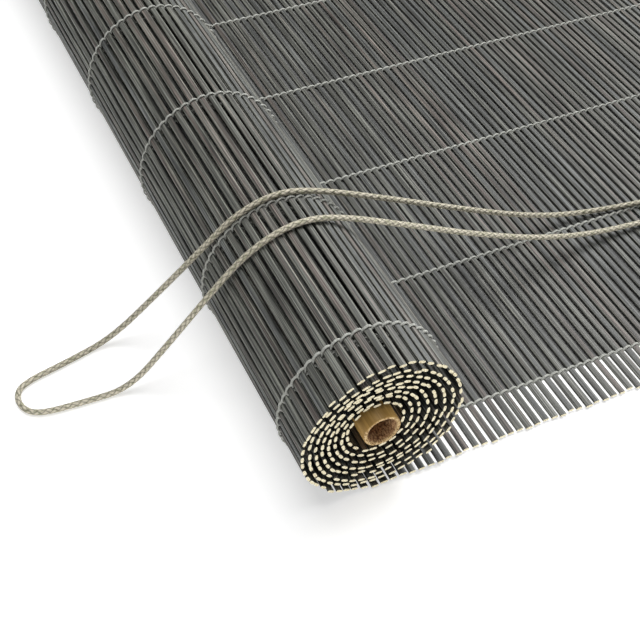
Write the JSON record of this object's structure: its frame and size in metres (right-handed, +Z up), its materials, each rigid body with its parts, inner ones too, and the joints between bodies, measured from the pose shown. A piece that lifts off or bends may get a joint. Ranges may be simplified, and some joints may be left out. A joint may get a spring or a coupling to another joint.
{
  "type": "roll up blind",
  "caption": "Bamboo slat blind bound with string, lying flat and part rolled round a cane, with a head batten, hanger plates, a cord lock and a looped pull cord.",
  "frame": {"origin": "middle of the blind's footprint on the surface it lies on, the pull cord left out", "axes": "+X along the slats, towards the end with the cord lock; +Y from the roll towards the head batten; +Z up from the surface"},
  "size_m": [0.6068, 0.5997, 0.0889],
  "materials": {
    "slats": "dark grey stain under a thin satin lacquer, streaky grain",
    "binding_string": "light grey twisted cotton",
    "cane": "natural golden bamboo, waxy skin",
    "staple_wire": "plain drawn wire",
    "batten": "dark grey stain under a thin satin lacquer",
    "hanger_plate": "zinc plated",
    "screws": "zinc plated",
    "lock_case": "dark grey moulded plastic",
    "lock_pins": "plain steel pin",
    "lock_sheave": "pale moulded plastic",
    "lock_cam": "pale moulded plastic",
    "pull_cord": "beige and olive grey braid"
  },
  "bodies": {
    "blind": {"slats_flat": "slats", "slats_turn_1": "slats", "slats_turn_2": "slats", "slats_turn_3": "slats", "slats_turn_4": "slats", "slats_turn_5": "slats", "slats_turn_6": "slats", "slats_turn_7": "slats", "slats_turn_8": "slats", "string_flat_1": "binding_string", "string_flat_2": "binding_string", "string_flat_3": "binding_string", "string_flat_4": "binding_string", "string_flat_5": "binding_string", "string_flat_6": "binding_string", "string_flat_7": "binding_string", "string_rolled_1": "binding_string", "string_rolled_2": "binding_string", "string_rolled_3": "binding_string", "string_rolled_4": "binding_string", "string_rolled_5": "binding_string", "string_rolled_6": "binding_string", "string_rolled_7": "binding_string", "cane": "cane", "cane_staples": "staple_wire", "head_batten": "batten", "head_staples": "staple_wire", "hanger_near": "hanger_plate", "hanger_far": "hanger_plate", "hanger_screws": "screws", "cord_eyes": "screws", "lock_housing": "lock_case", "lock_cover": "lock_case", "lock_pins": "lock_pins", "lock_screws": "screws", "pull_cord": "pull_cord"},
    "sheave": {"lock_sheave": "lock_sheave"},
    "cam": {"lock_cam": "lock_cam"}
  },
  "joints": [
    {"name": "sheave_spin", "type": "hinge", "parent": "blind", "child": "sheave", "pos_m": [0.20171, 0.20036, 0.0092], "axis": [0, 0, 1], "continuous": true},
    {"name": "cam_swing", "type": "hinge", "parent": "blind", "child": "cam", "pos_m": [0.21321, 0.19637, 0.0092], "axis": [0, 0, 1], "range_deg": [-12, 36]}
  ]
}
